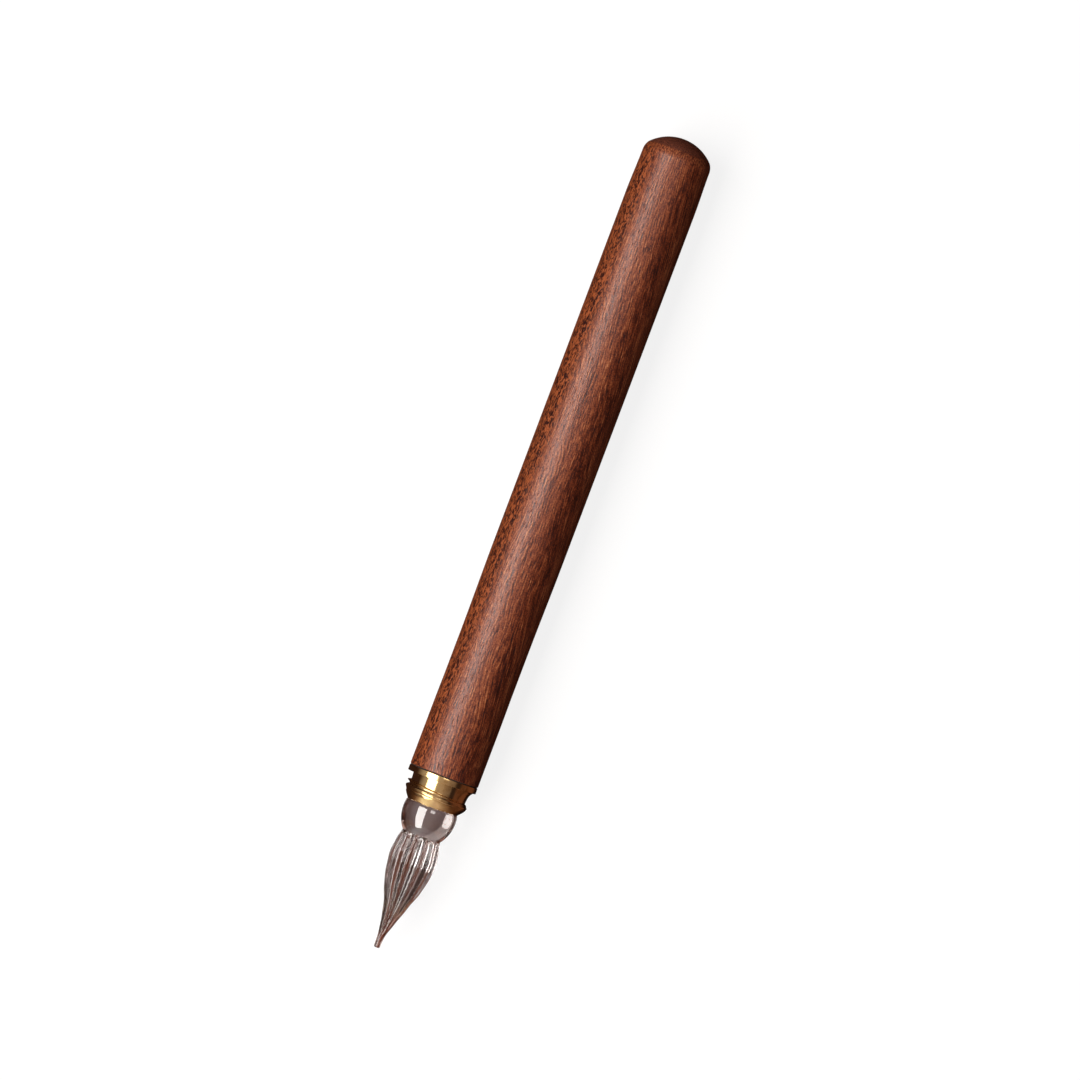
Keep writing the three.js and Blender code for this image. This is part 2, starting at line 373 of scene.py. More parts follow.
barrel = skin("turned_barrel", turn(*barrel_profile(), around_axis(SMOOTH_TURNING)))
fit(barrel, oiled_hardwood(), "barrel", "barrel")


# Barrel bush
# A brass sleeve glued into the barrel's mouth. Three grooves outside key it to the glue, and inside is
# the M9 x 1 thread that the section screws into.

THREAD_PITCH = 1.0
THREAD_RADIUS = 4.5  # at the crests of the section's tail
THREAD_DEPTH = 0.54
THREAD_FLAT = 0.15  # the share of the wave that is cut flat at the crest, and at the root
THREAD_PLAY = 0.06
THREAD_RUNOUT = 0.6
THREAD_ROWS = 20  # for each turn
BUSH_RADIUS = 5.2
BUSH_LENGTH = 9.0
BUSH_RECESS = 0.1
BUSH_CHAMFER = 0.25
BUSH_GROOVES = (1.6, 4.1, 6.6)
GROOVE_WIDTH = 0.8
GROOVE_DEPTH = 0.2
BRASS_BRIGHT = (0.86, 0.63, 0.30)
BRASS_DULL = (0.66, 0.43, 0.17)
BRASS_ROUGHNESS = 0.05
BRASS_RELIEF = (0.12, 0.01 * MM)
TURNED_RING = (0.03, 9, 9)
TARNISH_PATCH = (1.4, 1.4, 1.4)
TARNISH_EDGE = (0.40, 0.75)
TARNISH_ROUGHNESS = 0.16


def thread_height(along, angle):
    """How far a right-hand thread stands out of its root, from 0 to 1: a triangle wave of
    x / pitch + a / turn, cut flat at crest and root."""
    turns = along / THREAD_PITCH + angle / (2 * np.pi)
    wave = 2 * np.abs(turns - np.floor(turns) - 0.5)
    return np.clip((wave - THREAD_FLAT) / (1 - 2 * THREAD_FLAT), 0, 1)


def polished_brass():
    """Bright brass with the fine rings that the turning tool left, and a faint cloudy tarnish."""
    material, shader = new_finish("polished_brass")
    tree = material.node_tree
    place = place_on(tree)
    rings = grain(tree, place, mm(*TURNED_RING))
    cloud = grain(tree, place, mm(*TARNISH_PATCH), detail=3.0, roughness=0.6)
    colour = tint(tree, span(tree, cloud, *TARNISH_EDGE), BRASS_BRIGHT, BRASS_DULL)
    tree.links.new(colour, shader.inputs["Base Color"])
    shader.inputs["Metallic"].default_value = 1.0
    rough = calculate(tree, "MULTIPLY_ADD", cloud, TARNISH_ROUGHNESS, BRASS_ROUGHNESS)
    tree.links.new(rough, shader.inputs["Roughness"])
    emboss(tree, shader, rings, *BRASS_RELIEF)
    return material


def bush_rings():
    """The outside, front to back inside: x and r of the sleeve, with r of the bore rising and falling
    with the thread, which eases out at both ends."""
    front = MOUTH - BUSH_RECESS
    rear = front - BUSH_LENGTH
    outside = [(rear, BUSH_RADIUS - BUSH_CHAMFER), (rear + BUSH_CHAMFER, BUSH_RADIUS)]
    for start in BUSH_GROOVES:
        x0, x1 = rear + start, rear + start + GROOVE_WIDTH
        outside += [(x0, BUSH_RADIUS), (x0 + GROOVE_DEPTH, BUSH_RADIUS - GROOVE_DEPTH)]
        outside += [(x1 - GROOVE_DEPTH, BUSH_RADIUS - GROOVE_DEPTH), (x1, BUSH_RADIUS)]
    outside += [(front - BUSH_CHAMFER, BUSH_RADIUS), (front, BUSH_RADIUS - BUSH_CHAMFER)]
    outside = np.array(outside)
    angle = around_axis(SMOOTH_TURNING)
    x = np.linspace(front, rear, int(BUSH_LENGTH / THREAD_PITCH * THREAD_ROWS) + 1)[:, None]
    fade = ease(front, front - THREAD_RUNOUT, x) * ease(rear, rear + THREAD_RUNOUT, x)
    bore = THREAD_RADIUS + THREAD_PLAY - THREAD_DEPTH * fade * (1 - thread_height(x, angle))
    return np.concatenate([turn(*outside.T, angle), turn(x, bore, angle)])


brass = polished_brass()
bush = skin("threaded_bush", bush_rings())
fit(bush, brass, "barrel", "barrel_bush")


# Seam washer
# A thin washer of black vulcanised fibre, pinched between the wood and the brass ring.

WASHER_OUTER = BARREL_RADIUS - 0.2
WASHER_INNER = THREAD_RADIUS + 0.1
WASHER_EDGE = 0.03
FIBRE_DARK = (0.012, 0.009, 0.008)
FIBRE_PALE = (0.045, 0.034, 0.028)
FIBRE_PATCH = (0.05, 0.3, 0.08)
FIBRE_ROUGHNESS = (0.25, 0.6)  # what the fibres add, and the least
FIBRE_RELIEF = (0.4, 0.01 * MM)

washer_low, washer_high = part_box("seam_washer")
WASHER_REAR = washer_low.x / MM
WASHER_FRONT = washer_high.x / MM


def black_fibre():
    """Matt black-brown fibre board with a fine tangled surface."""
    material, shader = new_finish("black_fibre")
    tree = material.node_tree
    fibres = grain(tree, place_on(tree), mm(*FIBRE_PATCH), detail=4.0, roughness=0.7)
    tree.links.new(tint(tree, fibres, FIBRE_DARK, FIBRE_PALE), shader.inputs["Base Color"])
    tree.links.new(calculate(tree, "MULTIPLY_ADD", fibres, *FIBRE_ROUGHNESS), shader.inputs["Roughness"])
    emboss(tree, shader, fibres, *FIBRE_RELIEF)
    return material


washer_profile = np.array([
    (WASHER_REAR, WASHER_INNER),
    (WASHER_REAR, WASHER_OUTER - WASHER_EDGE),
    (WASHER_REAR + WASHER_EDGE, WASHER_OUTER),
    (WASHER_FRONT - WASHER_EDGE, WASHER_OUTER),
    (WASHER_FRONT, WASHER_OUTER - WASHER_EDGE),
    (WASHER_FRONT, WASHER_INNER),
])
washer = skin("fibre_washer", turn(*washer_profile.T, around_axis(SMOOTH_TURNING)))
fit(washer, black_fibre(), "washer", "seam_washer")


# Section
# One piece of turned brass: a tail with the M9 x 1 thread, a ring as thick as the barrel, a neck, a short
# coarse thread for a cap, and a nose that curves in to a thin lip round the glass.

SHOULDER = MOUTH + 0.2
TAIL_LENGTH = 8.0
TAIL_POINT = 0.45  # how far the thread's first turn is turned down
TAIL_POINT_REACH = (-0.2, 0.7)  # from the tail's end
TAIL_RUNOUT = 0.5
TAIL_GROOVE_START = -1.0
TAIL_GROOVE_FULL = -0.8
TAIL_GROOVE_RADIUS = 4.1
COLLAR_LENGTH = 5.7
COLLAR_ROWS = 150
COLLAR_GAP = 0.05  # from the ring to the next ring of points
RING_RADIUS = BARREL_RADIUS - 0.08
RING_LENGTH = 1.05
RING_EDGE = 0.07
NECK_RADIUS = 5.25
NECK_END = 2.3
NECK_LONGER = 1.1  # how much later the neck ends on the +Y side
NECK_STEP = 0.22
FILLET = 0.10
FILLET_FULLER = 0.70  # what the fillet gains on the +Y side
FILLET_LENGTH = 0.65
NOSE_START = 3.85
NOSE_SKEW = 0.27
NOSE_CURVE = 1.5
CREST_RADIUS = 5.88
LIP_RADIUS = 4.76
LIP_BORE = 4.45
LIP_BACK = 0.02
SECTION_BORE = 3.3
SECTION_MOUTH = 1.3
CAP_PITCH = 1.15
CAP_THREAD_DEPTH = 0.52
CAP_THREAD_FADE = (90, 430)  # degrees round from the top
CAP_THREAD_EASED = (-80, -30)
CAP_ROOT_AT_TOP = 3.34
CAP_GROOVE_HALF = 0.50
TOOL_MARKS = (3.87, 4.37)  # two fine lines cut round the nose
TOOL_MARK_DEPTH = 0.035
TOOL_MARK_HALF = 0.09
NECK_LATER = ((-120, 90), (95, 175))  # degrees round from the top, over which it comes and goes
FILLET_FULL = ((35, 85), (120, 170))


def between(rise, fall, value):
    """Eases from 0 to 1 over one range of the value, and back to 0 over a later range."""
    return ease(*rise, value) * (1 - ease(*fall, value))


def collar_radius(x, angle):
    """The collar past its ring, at x from the shoulder. A nose r = lip + (crest - lip)(1 - t^1.5) starts
    a little further forward on the +Y side. A smooth left-hand groove of the cap's pitch is cut into it,
    fading over its second turn, and two fine tool marks. The neck ends ever later towards +Y, which
    feathers the first thread."""
    side = np.degrees(np.angle(np.exp(1j * angle)))
    nose_start = NOSE_START + NOSE_SKEW * np.sin(angle)
    t = np.clip((x - nose_start) / (COLLAR_LENGTH - nose_start), 0, 1)
    radius = LIP_RADIUS + (CREST_RADIUS - LIP_RADIUS) * (1 - t ** NOSE_CURVE)
    for whole_turns in (-1, 0, 1):
        wound = side + 360 * whole_turns
        root = CAP_ROOT_AT_TOP + CAP_PITCH * wound / 360
        depth = CAP_THREAD_DEPTH * (1 - ease(*CAP_THREAD_FADE, wound))
        depth = depth * (1 - 0.5 * ease(*CAP_THREAD_EASED, wound))
        radius = radius - depth * ease(CAP_GROOVE_HALF, 0, np.abs(x - root))
    for mark in TOOL_MARKS:
        radius = radius - TOOL_MARK_DEPTH * ease(TOOL_MARK_HALF, 0, np.abs(x - mark))
    neck_end = NECK_END + NECK_LONGER * between(*NECK_LATER, side)
    fillet = FILLET + FILLET_FULLER * between(*FILLET_FULL, side)
    neck = NECK_RADIUS + fillet * np.exp(-(x - RING_LENGTH) / FILLET_LENGTH)
    return neck + (radius - neck) * ease(0, NECK_STEP, x - neck_end)


def section_rings():
    """The tail's thread, the ring and collar on the outside, then the lip, the seat and the bore."""
    angle = around_axis(SMOOTH_TURNING)
    tail = -TAIL_LENGTH
    threaded = TAIL_GROOVE_START - tail
    x = np.linspace(tail, TAIL_GROOVE_START, int(threaded / THREAD_PITCH * THREAD_ROWS) + 1)[:, None]
    runout = ease(TAIL_GROOVE_START, TAIL_GROOVE_START - TAIL_RUNOUT, x)
    thread = THREAD_RADIUS - THREAD_DEPTH + THREAD_DEPTH * (thread_height(x + SHOULDER, angle) * runout)
    thread = thread - TAIL_POINT * (1 - ease(*TAIL_POINT_REACH, x - tail))
    groove = [(TAIL_GROOVE_FULL, TAIL_GROOVE_RADIUS), (0, TAIL_GROOVE_RADIUS)]
    ring = np.concatenate([
        groove,
        [(0, RING_RADIUS - RING_EDGE)],
        arc((RING_EDGE, RING_RADIUS - RING_EDGE), RING_EDGE, 15, 90, 4),
        arc((RING_LENGTH - RING_EDGE, RING_RADIUS - RING_EDGE), RING_EDGE, 90, 180, 4),
    ])
    collar = np.linspace(RING_LENGTH + COLLAR_GAP, COLLAR_LENGTH, COLLAR_ROWS)
    collar = np.concatenate([[RING_LENGTH], collar])[:, None]
    lip_centre = (COLLAR_LENGTH - LIP_BACK, (LIP_RADIUS + LIP_BORE) / 2)
    lip = np.concatenate([
        arc(lip_centre, (LIP_RADIUS - LIP_BORE) / 2, 120, 240, 5),
        [(COLLAR_LENGTH - SECTION_MOUTH, SECTION_BORE), (tail, SECTION_BORE)],
    ])
    rings = [
        turn(SHOULDER + x, thread, angle),
        turn(SHOULDER + ring[:, 0], ring[:, 1], angle),
        turn(SHOULDER + collar, collar_radius(collar, angle), angle),
        turn(SHOULDER + lip[:, 0], lip[:, 1], angle),
    ]
    return np.concatenate(rings)


section = skin("brass_section", section_rings())
fit(section, brass, "nib_unit", "section")


# Nib adhesive
# Clear adhesive that has set in the gap between the glass shank and the section's bore, with a hollow
# edge at each end.

GLASS_SHANK_RADIUS = 3.0
GLUE_GAP = 0.02
GLUE_HOLLOW = 0.08
GLUE_STEPS = 96
RESIN_PALE = (0.82, 0.78, 0.68)
RESIN_YELLOW = (0.66, 0.60, 0.48)
RESIN_BUBBLE = (0.95, 0.94, 0.90)
RESIN_PATCH = (0.6, 0.6, 0.6)
RESIN_ROUGHNESS = (0.2, 0.2)  # what the clouds add, and the least
RESIN_CLEARNESS = 0.5
RESIN_IOR = 1.5
BUBBLE_SPACING = 0.5
BUBBLE_EDGE = (0.22, 0.12)
BUBBLE_SHOW = (0.0, 0.6)

glue_low, glue_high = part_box("nib_adhesive")
GLUE_REAR = glue_low.x / MM
GLUE_FRONT = glue_high.x / MM
GLUE_INNER = GLASS_SHANK_RADIUS + GLUE_GAP
GLUE_OUTER = SECTION_BORE - GLUE_GAP
GLUE_MIDDLE = (GLUE_INNER + GLUE_OUTER) / 2


def set_adhesive():
    """Clear, slightly yellow resin with small trapped bubbles."""
    material, shader = new_finish("set_adhesive")
    tree = material.node_tree
    place = place_on(tree)
    cloud = grain(tree, place, mm(*RESIN_PATCH), detail=3.0)
    spacing = {"Vector": place, "Scale": 1 / (BUBBLE_SPACING * MM)}
    bubbles = put(tree, "ShaderNodeTexVoronoi", spacing).outputs["Distance"]
    colour = tint(tree, cloud, RESIN_PALE, RESIN_YELLOW)
    colour = tint(tree, span(tree, bubbles, *BUBBLE_EDGE, *BUBBLE_SHOW), colour, RESIN_BUBBLE)
    tree.links.new(colour, shader.inputs["Base Color"])
    tree.links.new(calculate(tree, "MULTIPLY_ADD", cloud, *RESIN_ROUGHNESS), shader.inputs["Roughness"])
    shader.inputs["Transmission Weight"].default_value = RESIN_CLEARNESS
    shader.inputs["IOR"].default_value = RESIN_IOR
    return material


glue_profile = np.array([
    (GLUE_REAR, GLUE_INNER),
    (GLUE_REAR + GLUE_HOLLOW, GLUE_MIDDLE),
    (GLUE_REAR, GLUE_OUTER),
    (GLUE_FRONT, GLUE_OUTER),
    (GLUE_FRONT - GLUE_HOLLOW, GLUE_MIDDLE),
    (GLUE_FRONT, GLUE_INNER),
])
glue = skin("set_glue", turn(*glue_profile.T, around_axis(GLUE_STEPS)))
fit(glue, set_adhesive(), "nib_unit", "nib_adhesive")


# Glass nib
# Drawn by hand from one clear glass rod: a plain shank, a round bulb that seats on the brass lip, and a
# nib with twelve ribs that rise out of the waist, twist a little and run together before the bent tip.

LIP = SHOULDER + COLLAR_LENGTH
GLASS_SHANK_LENGTH = 9.0
GLASS_SHANK_END = [(0, 0), (0, 0.6), (0.3, 0.88), (0.9, 1)]  # from its end, with a share of its radius
BULB_LENGTH = 5.6
BULB_RADIUS = 4.94
BULB_CENTRE = 1.6
BULB_HALF_LENGTH = 5.75
BULB_SEAT = 0.06
BULB_START = 0.25  # from the seat
BULB_END = 0.04  # before the waist
BULB_ROWS = 56
NIB_LENGTH = 21.5
NIB_RADIUS = 4.38
TIP_RADIUS = 0.56
TIP_ROUND = 0.3
TIP_BEND = 0.46
TIP_BEND_FROM = (12.8, 21.0)
NIB_OUTLINE = [
    (0, 3.56),
    (1.3, 3.97),
    (3.9, NIB_RADIUS),
    (6.3, 4.24),
    (9.6, 3.55),
    (13.0, 2.34),
    (16.4, 1.35),
    (19.0, 0.72),
    (20.9, TIP_RADIUS),
]
NIB_ROWS = 200
RIBS = 12
RIB_DEPTH = 0.48
RIB_TWIST = math.radians(7)
RIB_REACH = ((-0.1, 0.9), (17.0, 20.6))  # where the ribs rise and fade, from the waist
RIB_SPACING_WAVES = [(0.035, 3, 0.6), (0.02, 5, 2.1)]  # size, number round the nib, and start
RIB_DEPTH_WAVE = (0.18, 2, 1.2)
HAND_WAVE = 0.02
HAND_WAVE_LENGTH = 3.4
GLASS_STEPS = 288
GLASS_TINT = (0.94, 0.91, 0.91, 1)
GLASS_IOR = 1.56
NIB_FINISH = (-0.3, 1.0)  # where the bulb's finish gives way to the nib's, from the waist
BULB_GLEAM = 1.0
NIB_GLEAM = 0.5
PAST_SHOULDER = (1.0, 4.5)
PAST_SHOULDER_GLEAM = -0.35
GLEAM_IOR = 1.9
DRAWN_LINE = (8, 0.17, 0.17)
DRAWN_ROUGHNESS = (0.03, 0.005)  # what the lines add, and the least
DRAWN_RELIEF = (0.8, 0.018 * MM)


def wave(size, number, start, angle):
    """A slow wave round the nib: size times sin(number a + start)."""
    return size * np.sin(number * angle + start)


def flowing(points, steps):
    """A smooth curve through the points, even in each stretch between two of them: the cubic whose
    slope at a point is half the way from the point before to the point after."""
    points = np.asarray(points, float)
    ends = np.concatenate([points[:1], points, points[-1:]])
    place = np.linspace(0, len(points) - 1, steps + 1)
    at = np.minimum(place.astype(int), len(points) - 2)
    t = (place - at)[:, None]
    before, start, end, after = (ends[at + shift] for shift in range(4))
    slope_in = (end - before) / 2
    slope_out = (after - start) / 2
    curve = (2 * start - 2 * end + slope_in + slope_out) * t ** 3
    curve += (-3 * start + 3 * end - 2 * slope_in - slope_out) * t ** 2
    return curve + slope_in * t + start


def glass_rings():
    """The shank, the bulb as part of an ellipse, and the nib, whose radius falls by half the depth times
    (1 - cos(pi c)) towards the groove, where c goes from -1 to 1 across each rib. The ribs were pressed
    by hand, so their spacing, depth and height vary a little, as slow waves."""
    shank = [(at - GLASS_SHANK_LENGTH, share * GLASS_SHANK_RADIUS) for at, share in GLASS_SHANK_END]
    seat = [
        (-SECTION_MOUTH - 0.1, GLASS_SHANK_RADIUS),
        (BULB_SEAT, LIP_BORE - 0.12),
        (BULB_SEAT + 0.02, LIP_RADIUS - 0.15),
    ]
    bulb_x = np.linspace(BULB_SEAT + BULB_START, BULB_LENGTH - BULB_END, BULB_ROWS)
    bulb_r = BULB_RADIUS * np.sqrt(1 - ((bulb_x - BULB_CENTRE) / BULB_HALF_LENGTH) ** 2)
    bulb = np.stack([bulb_x, bulb_r], axis=1)
    nib = flowing(NIB_OUTLINE, NIB_ROWS) + [BULB_LENGTH, 0]
    end = BULB_LENGTH + NIB_LENGTH
    tip = arc((end - TIP_ROUND, TIP_RADIUS - TIP_ROUND), TIP_ROUND, 100, 180, 6)
    profile = np.concatenate([shank, seat, bulb, nib, tip, [(end, 0)]])
    x, radius = profile.T[:, :, None]

    angle = around_axis(GLASS_STEPS)
    uneven = angle + sum(wave(*slow, angle) for slow in RIB_SPACING_WAVES)
    across = 2 * np.mod(uneven * RIBS / (2 * np.pi), 1) - 1
    from_waist = x - BULB_LENGTH
    ribbed = between(*RIB_REACH, from_waist)
    depth = RIB_DEPTH * ribbed * radius / NIB_RADIUS * (1 + wave(*RIB_DEPTH_WAVE, angle))
    radius = radius - depth * (1 - np.cos(np.pi * across)) / 2
    waves = from_waist / HAND_WAVE_LENGTH
    radius = radius - HAND_WAVE * ribbed * np.sin(2 * np.pi * waves + 4 * np.sin(angle))
    twist = RIB_TWIST * np.clip(from_waist / NIB_LENGTH, 0, 1)
    bend = -TIP_BEND * ease(*TIP_BEND_FROM, from_waist)
    return turn(LIP + x, radius, angle + twist, bend)


def clear_glass():
    """Clear glass, polished by the flame on the bulb and less bright past the nib's shoulder, with the
    fine drawn lines of the rod on the nib."""
    material, shader = new_finish("clear_drawn_glass")
    tree = material.node_tree
    place = place_on(tree)
    along = put(tree, "ShaderNodeSeparateXYZ", {0: place}).outputs[0]
    past_waist = calculate(tree, "SUBTRACT", along, (LIP + BULB_LENGTH) * MM)
    on_nib = span(tree, past_waist, *mm(*NIB_FINISH))
    drawn = calculate(tree, "MULTIPLY", grain(tree, place, mm(*DRAWN_LINE), detail=1.0), on_nib)
    shader.inputs["Base Color"].default_value = GLASS_TINT
    shader.inputs["Transmission Weight"].default_value = 1.0
    shader.inputs["IOR"].default_value = GLASS_IOR
    past_shoulder = span(tree, past_waist, *mm(*PAST_SHOULDER))
    gleam = span(tree, on_nib, 0, 1, BULB_GLEAM, NIB_GLEAM)
    gleam = calculate(tree, "MULTIPLY_ADD", past_shoulder, PAST_SHOULDER_GLEAM, gleam)
    tree.links.new(gleam, shader.inputs["Coat Weight"])
    shader.inputs["Coat Roughness"].default_value = 0.0
    shader.inputs["Coat IOR"].default_value = GLEAM_IOR
    tree.links.new(calculate(tree, "MULTIPLY_ADD", drawn, *DRAWN_ROUGHNESS), shader.inputs["Roughness"])
    emboss(tree, shader, drawn, *DRAWN_RELIEF)
    return material


nib = skin("drawn_glass_nib", glass_rings())
fit(nib, clear_glass(), "nib_unit", "glass_nib")


# Table and surroundings
# A pale, plain table under a white room, both white to the camera, with the pen's soft shadow kept.
# Metal and glass show the room dimmer, as a dark studio would leave it, and show the table with painted
# reflections, painted shade and painted light.

TABLE_SIZE = 6.0  # metres
TABLE_CAMERA = (0.20, 0.20, 0.20)
TABLE_WHITE = 0.86
PAPER_PATCH = (0.4, 0.4, 0.4)
PAPER_EDGE = (0.3, 0.7)
PAPER_SHADES = (0.94, 1.0)
PAPER_ROUGHNESS = 0.9
BULB_PAINTED_LIGHT_AND_SHADE = [  # painted light and shade that the glass gathers from the table, by y in millimetres
    (-12.0, (0.80, 0.74, 0.72)),
    (-7.0, (0.75, 0.68, 0.66)),
    (-5.0, (0.12, 0.085, 0.080)),
    (-2.2, (0.09, 0.060, 0.055)),
    (-1.4, (1.00, 0.95, 0.95)),
    (-0.16, (0.95, 0.88, 0.88)),
    (-0.07, (0.41, 0.33, 0.34)),
    (0.0, (0.39, 0.31, 0.32)),
    (0.2, (0.35, 0.27, 0.28)),
    (0.9, (0.31, 0.24, 0.24)),
    (1.6, (0.17, 0.065, 0.045)),
    (4.8, (0.15, 0.055, 0.038)),
    (7.0, (0.60, 0.55, 0.54)),
    (12.0, (0.75, 0.70, 0.68)),
]
# Painted light and shade below the nib, by y in millimetres.
NIB_PAINTED_LIGHT_AND_SHADE = [
    (-12.0, (0.80, 0.74, 0.72)),
    (-7.0, (0.40, 0.35, 0.34)),
    (-5.0, (0.080, 0.045, 0.036)),
    (-2.5, (0.110, 0.045, 0.032)),
    (-1.2, (0.260, 0.090, 0.056)),
    (-0.6, (0.200, 0.068, 0.042)),
    (-0.3, (0.560, 0.500, 0.500)),
    (0.3, (0.560, 0.500, 0.500)),
    (0.6, (0.020, 0.008, 0.006)),
    (3.0, (0.040, 0.016, 0.011)),
    (5.0, (0.080, 0.036, 0.027)),
    (7.0, (0.40, 0.35, 0.34)),
    (12.0, (0.75, 0.70, 0.68)),
]
# Painted light: bright lines on the table that only the glass sees, below the nib.
PAINTED_LIGHT_LINE = (0.92, 0.95, 1.0)
PAINTED_LIGHT_LINE_PATCH = (9, 1.2, 1.0)
PAINTED_LIGHT_LINE_EDGE = (0.62, 0.70)
# Painted tones as the glass sees them: redder and darker near the tip, pale at the lip.
PAINTED_RED_SHADE_AT_TIP = (0.84, 0.56, 0.47)
PAINTED_LIGHT_AT_LIP = (0.85, 0.80, 0.80)
LIP_TO_BULB = (0.6, -1.2)  # where one gives way to the other, in millimetres past the lip
BULB_TO_NIB = (5.2, 6.4)
NIB_TO_TIP = (15, 20)
# Painted reflections: the table's tones as metal sees them, with a painted shadow beside the pen.
PAINTED_REFLECTION_FAR = (0.160, 0.065, 0.042)
PAINTED_REFLECTION_LEFT = (0.040, 0.020, 0.018)
PAINTED_SHADOW_BESIDE_PEN = (0.025, 0.010, 0.007)
LEFT_TO_NEAR = (-4, 6)  # in millimetres off the pen's line
NEAR_TO_FAR = (14, 17)
BESIDE_TO_AHEAD = (4, 12)  # in millimetres past the lip
TABLE_BOUNCE = (0.085, 0.048, 0.038)
ROOM_LIGHT = (0.085, 0.062, 0.058)
ROOM_SEEN = [  # by degrees round the pen from overhead
    (-180, (0.015, 0.008, 0.006)),
    (-110, (0.050, 0.025, 0.022)),
    (-88, (0.100, 0.070, 0.065)),
    (-70, (0.330, 0.280, 0.270)),
    (-54, (0.400, 0.350, 0.340)),
    (-14, (0.420, 0.350, 0.320)),
    (12, (0.400, 0.310, 0.280)),
    (28, (0.260, 0.190, 0.170)),
    (46, (0.180, 0.130, 0.120)),
    (50, (0.035, 0.020, 0.018)),
    (65, (0.035, 0.020, 0.018)),
    (70, (0.120, 0.050, 0.033)),
    (112, (0.120, 0.050, 0.033)),
    (135, (0.030, 0.012, 0.008)),
    (180, (0.015, 0.008, 0.006)),
]
AHEAD_SEEN = [  # by degrees off the pen's line
    (-180, (0.030, 0.015, 0.010)),
    (-56, (0.060, 0.030, 0.020)),
    (-46, (0.150, 0.080, 0.055)),
    (-39, (0.410, 0.310, 0.280)),
    (-31, (0.950, 0.900, 0.850)),
    (-20, (1.000, 0.950, 0.900)),
    (-10, (0.850, 0.760, 0.700)),
    (0, (0.620, 0.500, 0.480)),
    (12, (0.620, 0.500, 0.470)),
    (22, (0.330, 0.240, 0.210)),
    (31, (0.230, 0.140, 0.110)),
    (39, (0.130, 0.070, 0.048)),
    (48, (0.108, 0.045, 0.027)),
    (180, (0.050, 0.025, 0.018)),
]
OVERHEAD_TO_AHEAD = (0.50, 0.80)  # the share of a direction that runs along the pen
THROUGH_GLASS = (0.46, 0.32, 0.27)
LIP_PLACE = LIP * MM

bpy.ops.mesh.primitive_plane_add(size=TABLE_SIZE)
table = bpy.context.object
table.name = "pale_table"


def seen_ahead(tree, x, y):
    """What lies beyond the nib, by the angle off the pen's line, atan(y / x): pale to the left of it."""
    angle = calculate(tree, "DEGREES", calculate(tree, "ARCTAN2", y, x))
    return shades_between(tree, angle, -180, 180, AHEAD_SEEN)


def painted_light_seen_by_glass(tree, y, stops):
    """The painted light and shade that the glass gathers from the table, by y in millimetres off the pen's
    line. The stops are spaced by y / (|y| + 1), because the round glass brings most of what it shows to a
    narrow strip there."""
    off_line = calculate(tree, "DIVIDE", y, MM)
    spaced = calculate(tree, "ADD", calculate(tree, "ABSOLUTE", off_line), 1.0)
    spaced = calculate(tree, "DIVIDE", off_line, spaced)
    return shades_between(tree, spaced, -1, 1, [(at / (abs(at) + 1), colour) for at, colour in stops])


def table_finish():
    """Pale matt paper: its tone in the lamps' light, topped up to white for the camera. To the rays that
    metal and glass send down to it, it shows painted reflections, painted shade and painted light instead."""
    material, shader = new_finish("paper_with_painted_light")
    tree = material.node_tree
    rays = put(tree, "ShaderNodeLightPath").outputs
    place = place_on(tree)
    x, y, _ = put(tree, "ShaderNodeSeparateXYZ", {0: place}).outputs
    beyond = calculate(tree, "SUBTRACT", x, LIP_PLACE)
    colour = tint(tree, rays["Is Camera Ray"], TABLE_BOUNCE, TABLE_CAMERA)

    # In metal the table shows painted reflections: a painted shadow beside the pen, dark on the -Y side,
    # brown further off on the +Y side, and pale beyond the nib.
    painted_reflection = tint(tree, span(tree, y, *mm(*LEFT_TO_NEAR)), PAINTED_REFLECTION_LEFT, PAINTED_SHADOW_BESIDE_PEN)
    painted_reflection = tint(tree, span(tree, y, *mm(*NEAR_TO_FAR)), painted_reflection, PAINTED_REFLECTION_FAR)
    ahead = span(tree, beyond, *mm(*BESIDE_TO_AHEAD))
    painted_reflection = tint(tree, ahead, painted_reflection, seen_ahead(tree, beyond, y))
    colour = tint(tree, rays["Is Glossy Ray"], colour, painted_reflection)

    # Through glass the table shows painted light and shade: pale at the lip, one set of tones below the bulb,
    # and painted bright lines over others below the nib, redder and darker towards the tip.
    lines = span(tree, grain(tree, place, mm(*PAINTED_LIGHT_LINE_PATCH), detail=1.0), *PAINTED_LIGHT_LINE_EDGE)
    nib_painted_light_and_shade = tint(tree, lines, painted_light_seen_by_glass(tree, y, NIB_PAINTED_LIGHT_AND_SHADE), PAINTED_LIGHT_LINE)
    nib_painted_light_and_shade = tint(tree, span(tree, beyond, *mm(*NIB_TO_TIP)), nib_painted_light_and_shade, PAINTED_RED_SHADE_AT_TIP, "MULTIPLY")
    bulb_painted_light_and_shade = painted_light_seen_by_glass(tree, y, BULB_PAINTED_LIGHT_AND_SHADE)
    under = tint(tree, span(tree, beyond, *mm(*BULB_TO_NIB)), bulb_painted_light_and_shade, nib_painted_light_and_shade)
    under = tint(tree, span(tree, beyond, *mm(*LIP_TO_BULB)), under, PAINTED_LIGHT_AT_LIP)
    colour = tint(tree, rays["Is Transmission Ray"], colour, under)

    fibre = span(tree, grain(tree, place, mm(*PAPER_PATCH)), *PAPER_EDGE, *PAPER_SHADES)
    shade = put(tree, "ShaderNodeCombineColor", {0: fibre, 1: fibre, 2: fibre}).outputs[0]
    colour = tint(tree, 1.0, colour, shade, "MULTIPLY")
    tree.links.new(colour, shader.inputs["Base Color"])
    shader.inputs["Roughness"].default_value = PAPER_ROUGHNESS
    shader.inputs["Specular IOR Level"].default_value = 0.0
    shader.inputs["Emission Color"].default_value = (1, 1, 1, 1)
    strength = calculate(tree, "MULTIPLY", rays["Is Camera Ray"], TABLE_WHITE)
    tree.links.new(strength, shader.inputs["Emission Strength"])
    return material


table.data.materials.append(table_finish())


